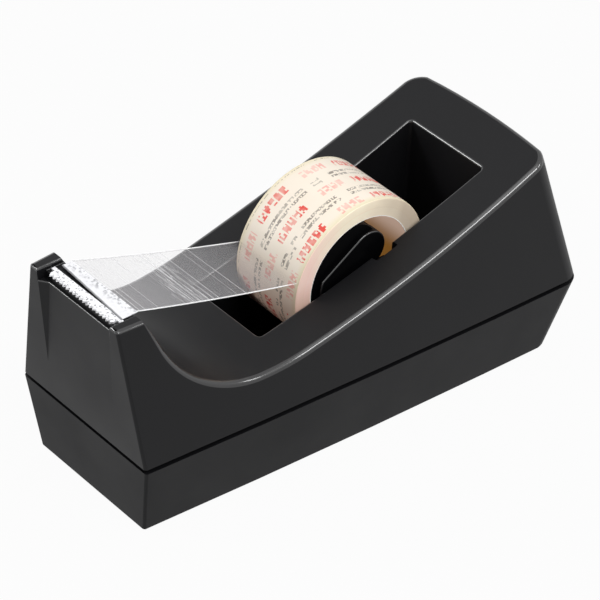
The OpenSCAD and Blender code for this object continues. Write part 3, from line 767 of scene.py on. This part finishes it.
def wrap_paper():
    material, tree, shader = new_material("printed_wrap_paper")
    _, _, _, spot = roll_place(tree)
    # the roll side's painted light and shade, with the same weak glow of painted light
    tone = side_tone_painted_light(tree, spot)
    tree.links.new(tone, shader.inputs["Base Color"])
    tree.links.new(tone, shader.inputs["Emission Color"])
    shader.inputs["Emission Strength"].default_value = FILM_GLOW
    shader.inputs["Roughness"].default_value = 0.6
    return material


dress(nodes["tape_core"], core_card())
dress(nodes["core_wrap"], wrap_paper())
print("core and wrap dressed")

# %% [markdown]
# ## The cutter
# The cutter is a toothed strip of bright steel, taken here as rolled and punched. Fine lines along
# the strip vary its roughness, and grey flecks about 0.5 mm wide break it up: they are painted
# glitter, for a strip that glitters unevenly. It looks white and not like a mirror, so it is only
# partly a metal here.

# %% Cutter steel
GLITTER_FLECK_MM = 0.5
# the lines are drawn out along Y: the pattern changes this much slower that way
LINE_STRETCH = 0.12


def bright_steel():
    material, tree, shader = new_material("bright_rolled_steel")
    place = add_node(tree, "ShaderNodeTexCoord").outputs["Object"]
    stretched = add_node(tree, "ShaderNodeMapping", {"Vector": place,
                         "Scale": [1 / MM, LINE_STRETCH / MM, 1 / MM]}).outputs[0]
    lines = add_node(tree, "ShaderNodeTexNoise", {"Vector": stretched, "Scale": 4.0, "Detail": 2.0})
    flecks = add_node(tree, "ShaderNodeTexNoise", {"Vector": place, "Scale": 1 / (GLITTER_FLECK_MM * MM),
                      "Detail": 1.0})
    # the grey flecks are painted glitter: dull places on an unevenly glittering strip
    spots = add_node(tree, "ShaderNodeMapRange", {"Value": flecks.outputs["Fac"],
                     "From Min": 0.56, "From Max": 0.68}).outputs[0]
    tone = add_node(tree, "ShaderNodeMix", {"Factor": spots, "A": linear("#F6F6F8"),
                    "B": linear("#8C8C90")}, data_type="RGBA").outputs["Result"]
    tree.links.new(tone, shader.inputs["Base Color"])
    gloss = add_node(tree, "ShaderNodeMapRange", {"Value": lines.outputs["Fac"], "To Min": 0.25,
                     "To Max": 0.5}).outputs[0]
    tree.links.new(gloss, shader.inputs["Roughness"])
    shader.inputs["Metallic"].default_value = 0.35
    return material


dress(nodes["cutter_blade"], bright_steel())
print("cutter dressed")

# %% [markdown]
# ## The loose end of the tape
# The film is clear but slightly milky, so black shows grey through it and white stays white. It
# runs from the roll to the rest behind the cutter, and gets a little wider on its way. Fine
# creases run across it, most of them in one band that looks crumpled. A crease is drawn where a
# noise crosses its middle value, which gives thin lines that wander, and the noise is drawn out
# along Y so that they run across the film.

# %% Creases in the film
# places along X: the middle of the crumpled band, and how far the lone creases reach
BAND_X = -33.5 * MM
LONE_TO_X = -19 * MM
CREASE_TURN = math.radians(2)
CRUMPLE_TURN = math.radians(-14)


def crease_lines(tree, place, scale, detail, narrow, wide, strength):
    """Lines where a noise is near its middle value: full within narrow of it, gone at wide."""
    noise = add_node(tree, "ShaderNodeTexNoise", {"Vector": place, "Scale": scale, "Detail": detail})
    off = distance_from(tree, noise.outputs["Fac"], 0.5)
    return add_node(tree, "ShaderNodeMapRange", {"Value": off, "From Min": narrow, "From Max": wide,
                    "To Min": strength, "To Max": 0.0}).outputs[0]


def film_creases(tree, place, along):
    skew = add_node(tree, "ShaderNodeMapping", {"Vector": place, "Rotation": [0, 0, CREASE_TURN],
                    "Scale": [1 / MM, 0.012 / MM, 0.001 / MM]}).outputs[0]
    many = crease_lines(tree, skew, scale=1.5, detail=1.0, narrow=0.004, wide=0.016, strength=1.0)
    lone = crease_lines(tree, skew, scale=0.31, detail=0.0, narrow=0.003, wide=0.008, strength=0.5)
    # the many fine ones are strong in the band and faint elsewhere
    near = distance_from(tree, along, BAND_X)
    band = add_node(tree, "ShaderNodeMapRange", {"Value": near, "From Min": 2 * MM,
                    "From Max": 5 * MM, "To Min": 0.8, "To Max": 0.04}).outputs[0]
    crease = add_node(tree, "ShaderNodeMath", {0: many, 1: band}, operation="MULTIPLY").outputs[0]
    ahead = add_node(tree, "ShaderNodeMath", {0: along, 1: LONE_TO_X}, operation="LESS_THAN")
    lone = add_node(tree, "ShaderNodeMath", {0: lone, 1: ahead.outputs[0]},
                    operation="MULTIPLY").outputs[0]
    # a finer crumple fills the band
    crumple = add_node(tree, "ShaderNodeMapping", {"Vector": place,
                       "Rotation": [0, 0, CRUMPLE_TURN], "Scale": [1 / MM, 0.16 / MM, 0.1 / MM]})
    crumple = add_node(tree, "ShaderNodeTexNoise", {"Vector": crumple.outputs[0], "Scale": 2.2,
                       "Detail": 2.0}).outputs["Fac"]
    crumple = add_node(tree, "ShaderNodeMapRange", {"Value": crumple, "From Min": 0.56,
                       "From Max": 0.7}).outputs[0]
    tight = add_node(tree, "ShaderNodeMapRange", {"Value": near, "From Min": 1.5 * MM,
                     "From Max": 4 * MM, "To Min": 0.4, "To Max": 0.0}).outputs[0]
    crumple = add_node(tree, "ShaderNodeMath", {0: crumple, 1: tight},
                       operation="MULTIPLY").outputs[0]
    for more in (lone, crumple):
        crease = add_node(tree, "ShaderNodeMath", {0: crease, 1: more},
                          operation="MAXIMUM").outputs[0]
    return crease


print("crumpled band at x =", round(BAND_X / MM, 1), "mm")

# %% [markdown]
# The rest of the film's look is how clear it is: it gets hazier towards the cutter, almost
# vanishes where it lies against the roll, and its creases and long cut edges are nearly opaque.
# Light passes both faces of the sheet, so each takes about half of the haze.

# %% Film material
# places along X between which the haze fades, and between which the film clears at the roll
HAZY_X, CLEARER_X = -46 * MM, -14 * MM
NEAR_ROLL_X, AT_ROLL_X = -13 * MM, -9 * MM
# distances from the middle of the film, as a share of its width, between which its edge turns white
EDGE_FROM, EDGE_TO = 0.478, 0.49


def clear_film():
    material, tree, shader = new_material("milky_clear_film")
    place = add_node(tree, "ShaderNodeTexCoord").outputs["Object"]
    along = add_node(tree, "ShaderNodeSeparateXYZ", {0: place}).outputs[0]
    crease = film_creases(tree, place, along)
    grid = add_node(tree, "ShaderNodeUVMap").outputs[0]
    across = add_node(tree, "ShaderNodeSeparateXYZ", {0: grid}).outputs[1]
    edge = add_node(tree, "ShaderNodeMapRange", {"Value": distance_from(tree, across, 0.5),
                    "From Min": EDGE_FROM, "From Max": EDGE_TO}).outputs[0]
    bright = add_node(tree, "ShaderNodeMath", {0: crease, 1: edge}, operation="MAXIMUM").outputs[0]
    clear = add_node(tree, "ShaderNodeMapRange", {"Value": along, "From Min": HAZY_X,
                     "From Max": CLEARER_X, "To Min": 0.23, "To Max": 0.09}).outputs[0]
    there = add_node(tree, "ShaderNodeMapRange", {"Value": along, "From Min": NEAR_ROLL_X,
                     "From Max": AT_ROLL_X, "To Min": 1.0, "To Max": 0.15}).outputs[0]
    clear = add_node(tree, "ShaderNodeMath", {0: clear, 1: there}, operation="MULTIPLY").outputs[0]
    bold = add_node(tree, "ShaderNodeMath", {0: bright, 1: there}, operation="MULTIPLY").outputs[0]
    alpha = add_node(tree, "ShaderNodeMapRange", {"Value": bold, "To Min": clear,
                     "To Max": 0.95}).outputs[0]
    tone = add_node(tree, "ShaderNodeMix", {"Factor": bright, "A": linear("#DDDBDD"),
                    "B": linear("#FDFDFD")}, data_type="RGBA").outputs["Result"]
    tree.links.new(tone, shader.inputs["Base Color"])
    tree.links.new(alpha, shader.inputs["Alpha"])
    shader.inputs["Roughness"].default_value = 0.22
    return material


film_clear = clear_film()
print("film material:", film_clear.name)

# %% [markdown]
# The sheet itself is a grid that is added flat and square. Each of its points is then moved to its
# place along the film, from the roll to the rest, and across it. The film starts on the roll,
# 4.7 mm above the axle, and sags by a third of a millimetre, and the grid is thickened to a sheet.

# %% Loose film
FILM_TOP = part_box("tape_end")[1].z
# place along X where the loose film ends and the pressed film starts
FILM_BACK = -49.45 * MM
START_HEIGHT = 4.7 * MM
FILM_SAG = 0.35 * MM
FILM_THICK = 0.08 * MM
# half the width of the film in mm at the roll, and how much more it is at the rest
HALF_AT_ROLL, HALF_WIDER = 8.75, 1.15
# the film stays this far in front of the roll and below the top of the CAD film
FILM_CLEARANCE = 0.03 * MM


def make_film():
    deselect()
    bpy.ops.mesh.primitive_grid_add(x_subdivisions=48, y_subdivisions=12, size=1, location=(0, 0, 0))
    piece = bpy.context.object
    piece.name = "loose_film"
    reach = math.sqrt(roll_r ** 2 - START_HEIGHT ** 2)
    start = Vector((axle.x - reach - FILM_CLEARANCE, 0, axle.z + START_HEIGHT))
    end = Vector((FILM_BACK, 0, FILM_TOP - FILM_CLEARANCE))
    for vertex in piece.data.vertices:
        t = vertex.co.x + 0.5
        side = vertex.co.y * 2
        half = (HALF_AT_ROLL + HALF_WIDER * (1 - t)) * MM
        middle = end.lerp(start, t)
        # a parabola that is 0 at both ends and FILM_SAG deep halfway
        sag = FILM_SAG * 4 * t * (1 - t)
        vertex.co = Vector((middle.x, side * half, middle.z - sag))
    apply_modifier(piece, "SOLIDIFY", thickness=FILM_THICK, offset=0)
    dress(piece, film_clear)
    make_active(piece)
    bpy.ops.object.shade_smooth_by_angle(angle=math.radians(40))
    return piece


film = make_film()
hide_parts("tape_end")
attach(film, "body")
print(film.name, "faces", len(film.data.polygons))

# %% [markdown]
# ## The pressed end of the film
# Behind the teeth the film is pressed down on the rest, and its end is slanted: at the far side it
# stops short of the strip, so a dark gap shows that narrows to nothing at the near side. The film
# looks frosted white there, with grey flecks mostly in its back part, and a dark line of painted
# shadow runs along its slanted front edge.

# %% Pressed film material
# mm along X: the front edge at the near side, and how much farther back it is at the far side
FRONT_NEAR, FRONT_SLANT = -53.3, 1.4
# mm across: the near side, and the width
NEAR_SIDE, PRESSED_WIDTH = -9.95, 19.8
PRESSED_FLECK_MM = 0.7
# places along X between which the flecks get stronger
FEW_FLECKS_X, MANY_FLECKS_X = -51.6 * MM, -50.4 * MM
# places along X on the middle plane between which the painted shadow line at the front edge fades
SHADOW_LINE_X, SHADOW_FADED_X = -52.4 * MM, -52.15 * MM


def stuck_film():
    material, tree, shader = new_material("frosted_pressed_film")
    place = add_node(tree, "ShaderNodeTexCoord").outputs["Object"]
    along, across, _ = add_node(tree, "ShaderNodeSeparateXYZ", {0: place}).outputs
    flecks = add_node(tree, "ShaderNodeTexNoise", {"Vector": place,
                      "Scale": 1 / (PRESSED_FLECK_MM * MM), "Detail": 2.0}).outputs["Fac"]
    spots = add_node(tree, "ShaderNodeMapRange", {"Value": flecks, "From Min": 0.5,
                     "From Max": 0.62}).outputs[0]
    back = add_node(tree, "ShaderNodeMapRange", {"Value": along, "From Min": FEW_FLECKS_X,
                    "From Max": MANY_FLECKS_X, "To Min": 0.05, "To Max": 0.8}).outputs[0]
    spots = add_node(tree, "ShaderNodeMath", {0: spots, 1: back}, operation="MULTIPLY").outputs[0]
    tone = add_node(tree, "ShaderNodeMix", {"Factor": spots, "A": linear("#E9E9EB"),
                    "B": linear("#98989C")}, data_type="RGBA").outputs["Result"]
    # a painted shadow line along the slanted front edge
    slant = add_node(tree, "ShaderNodeMath", {0: across, 1: -FRONT_SLANT / PRESSED_WIDTH,
                     2: along}, operation="MULTIPLY_ADD").outputs[0]
    slant = add_node(tree, "ShaderNodeMapRange", {"Value": slant, "From Min": SHADOW_LINE_X,
                     "From Max": SHADOW_FADED_X, "To Min": 0.85, "To Max": 0.0}).outputs[0]
    tone = add_node(tree, "ShaderNodeMix", {"Factor": slant, "A": tone, "B": linear("#4E4E52")},
                    data_type="RGBA").outputs["Result"]
    tree.links.new(tone, shader.inputs["Base Color"])
    relief = add_node(tree, "ShaderNodeBump", {"Height": flecks, "Strength": 0.4,
                      "Distance": 0.05 * MM}).outputs["Normal"]
    tree.links.new(relief, shader.inputs["Normal"])
    shader.inputs["Roughness"].default_value = 0.45
    return material


film_pressed = stuck_film()
print("pressed film material:", film_pressed.name)

# %% [markdown]
# A flat grid is shaped to the slanted outline, crumpled by a few hundredths of a millimetre, and
# thickened.

# %% Pressed film end
PRESSED_THICK = 0.12 * MM
# height of the crumple, and the radians of its waves across the film, along it and askew
CRUMPLE = 0.05 * MM
WAVE_ACROSS, WAVE_ALONG, WAVE_SKEW = 61, 7, 23


def make_pressed_end():
    deselect()
    bpy.ops.mesh.primitive_grid_add(x_subdivisions=12, y_subdivisions=40, size=1, location=(0, 0, 0))
    piece = bpy.context.object
    piece.name = "pressed_film_end"
    for vertex in piece.data.vertices:
        t = vertex.co.x + 0.5
        s = vertex.co.y + 0.5
        front = (FRONT_NEAR + FRONT_SLANT * s) * MM
        x = FILM_BACK + (front - FILM_BACK) * (1 - t)
        y = (NEAR_SIDE + PRESSED_WIDTH * s) * MM
        wave = math.sin(s * WAVE_ACROSS) * math.sin(t * WAVE_ALONG + s * WAVE_SKEW)
        vertex.co = Vector((x, y, FILM_TOP - PRESSED_THICK + CRUMPLE * wave))
    apply_modifier(piece, "SOLIDIFY", thickness=PRESSED_THICK, offset=0)
    dress(piece, film_pressed)
    make_active(piece)
    bpy.ops.object.shade_smooth_by_angle(angle=math.radians(50))
    return piece


pressed = make_pressed_end()
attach(pressed, "body")
print(pressed.name, "faces", len(pressed.data.polygons))

# %% [markdown]
# ## Hidden and lower parts
# The pad, the weights and the screws hardly show, and what they are made of is guessed: the pad is
# foam with small open pores, the weights are rough cast iron, and the screws are steel with a
# bright zinc plating.

# %% Foam, iron and zinc
PORE_MM = 0.8
RELIEF_DEPTH = 0.1 * MM


def foam():
    material, tree, shader = new_material("closed_cell_foam")
    place = add_node(tree, "ShaderNodeTexCoord").outputs["Object"]
    pores = add_node(tree, "ShaderNodeTexVoronoi", {"Vector": place,
                     "Scale": 1 / (PORE_MM * MM)}).outputs["Distance"]
    tone = add_node(tree, "ShaderNodeMix", {"Factor": pores, "A": linear("#1E1E1F"),
                    "B": linear("#2C2C2D")}, data_type="RGBA").outputs["Result"]
    tree.links.new(tone, shader.inputs["Base Color"])
    relief = add_node(tree, "ShaderNodeBump", {"Height": pores, "Strength": 0.5,
                      "Distance": RELIEF_DEPTH}).outputs["Normal"]
    tree.links.new(relief, shader.inputs["Normal"])
    shader.inputs["Roughness"].default_value = 0.9
    return material


def metal(name, dark, light, grain_mm, rough, relief_strength, metallic):
    material, tree, shader = new_material(name)
    place = add_node(tree, "ShaderNodeTexCoord").outputs["Object"]
    grain = add_node(tree, "ShaderNodeTexNoise", {"Vector": place, "Scale": 1 / (grain_mm * MM),
                     "Detail": 4.0}).outputs["Fac"]
    tone = add_node(tree, "ShaderNodeMix", {"Factor": grain, "A": linear(dark), "B": linear(light)},
                    data_type="RGBA").outputs["Result"]
    tree.links.new(tone, shader.inputs["Base Color"])
    relief = add_node(tree, "ShaderNodeBump", {"Height": grain, "Strength": relief_strength,
                      "Distance": RELIEF_DEPTH}).outputs["Normal"]
    tree.links.new(relief, shader.inputs["Normal"])
    shader.inputs["Roughness"].default_value = rough
    shader.inputs["Metallic"].default_value = metallic
    return material


dress(nodes["non_slip_pad"], foam())
iron = metal("rough_cast_iron", "#4A4744", "#6A6460", grain_mm=1.0, rough=0.7,
             relief_strength=0.6, metallic=0.8)
zinc = metal("bright_zinc_plate", "#B9BCC2", "#D8DADF", grain_mm=0.6, rough=0.3,
             relief_strength=0.1, metallic=1.0)
for name in ("front_weight", "back_weight"):
    dress(nodes[name], iron)
dress(nodes["base_screws"], zinc)
print("foam, iron and zinc dressed")

# %% [markdown]
# ## The floor
# The photograph's background is plain white. The floor is a grey surface that takes the lamps'
# light and the object's shadow, mixed with a white emission of strength 1 for the rays that should
# see a white background: those of the camera, those through clear parts, and those that a shiny
# surface reflects. A small share of the grey stays for them, and shows the shadow.

# %% Floor
FLOOR_SIZE = 6
WHITE_SHARE = 0.96
WHITE = [1, 1, 1, 1]


def background_rays(tree):
    """1 for the rays that see the plain white background, 0 for the others."""
    rays = add_node(tree, "ShaderNodeLightPath").outputs
    seen = rays["Is Camera Ray"]
    for name in ("Is Transmission Ray", "Is Glossy Ray"):
        seen = add_node(tree, "ShaderNodeMath", {0: seen, 1: rays[name]},
                        operation="MAXIMUM").outputs[0]
    return seen


deselect()
bpy.ops.mesh.primitive_plane_add(size=FLOOR_SIZE, location=(0, 0, 0))
floor = bpy.context.object
floor.name = "white_table"
table_white, tree, shader = new_material("matt_white_table")
shader.inputs["Base Color"].default_value = linear("#989898")
shader.inputs["Roughness"].default_value = 0.9
glow = add_node(tree, "ShaderNodeEmission", {"Color": WHITE, "Strength": 1.0}).outputs[0]
share = add_node(tree, "ShaderNodeMath", {0: background_rays(tree), 1: WHITE_SHARE},
                 operation="MULTIPLY").outputs[0]
both = add_node(tree, "ShaderNodeMixShader", {0: share, 1: shader.outputs[0], 2: glow}).outputs[0]
tree.links.new(both, tree.nodes["Material Output"].inputs["Surface"])
dress(floor, table_white)
print("floor:", floor.name, FLOOR_SIZE, "m wide")

# %% [markdown]
# ## The world and the lamps
# The same rays see the world as plain white. Only diffuse light gets a gradient from it, dim near
# the horizon and brighter above. Four soft lamps do the rest. Seen from the camera, there is a
# softbox in front on the right, a smaller strip on the right, a low softbox on the left, and a
# broad one overhead. All of them face a place 30 mm above the floor.

# %% World
world = bpy.data.worlds.new("studio")
bpy.context.scene.world = world
world.use_nodes = True
sky = world.node_tree
sky.nodes.clear()
plain = add_node(sky, "ShaderNodeBackground", {"Color": WHITE, "Strength": 1.0}).outputs[0]
up = add_node(sky, "ShaderNodeTexCoord").outputs["Generated"]
up = add_node(sky, "ShaderNodeSeparateXYZ", {0: up}).outputs[2]
up = add_node(sky, "ShaderNodeMapRange", {"Value": up, "From Min": 0.3, "From Max": 0.8,
              "To Min": 0.03, "To Max": 0.41}).outputs[0]
soft = add_node(sky, "ShaderNodeBackground", {"Color": linear("#F2F4F8"), "Strength": up})
pick = add_node(sky, "ShaderNodeMixShader", {0: background_rays(sky), 1: soft.outputs[0], 2: plain})
add_node(sky, "ShaderNodeOutputWorld", {0: pick.outputs[0]})
print("world:", world.name)

# %% Lamps
LAMPS_FACE = Vector((0, 0, 30)) * MM


def add_lamp(name, direction, distance, size, power):
    """A soft rectangular lamp. Distance and size are in metres, and power is in watts."""
    data = bpy.data.lights.new(name, "AREA")
    data.shape = "RECTANGLE"
    data.size, data.size_y = size
    data.energy = power
    lamp = bpy.data.objects.new(name, data)
    away = Vector(direction).normalized()
    lamp.location = LAMPS_FACE + away * distance
    lamp.rotation_euler = away.to_track_quat("Z", "Y").to_euler()
    bpy.context.scene.collection.objects.link(lamp)


add_lamp("front_softbox", (0.03, -0.63, 0.77), distance=0.9, size=(0.42, 0.2), power=4.4)
add_lamp("front_right_strip", (0.535, -0.53, 0.65), distance=0.9, size=(0.22, 0.12), power=1.3)
add_lamp("back_left_softbox", (-0.68, 0.58, 0.44), distance=0.9, size=(0.24, 0.2), power=3.2)
add_lamp("overhead_softbox", (-0.15, -0.1, 1.0), distance=1.0, size=(0.8, 0.8), power=3.0)
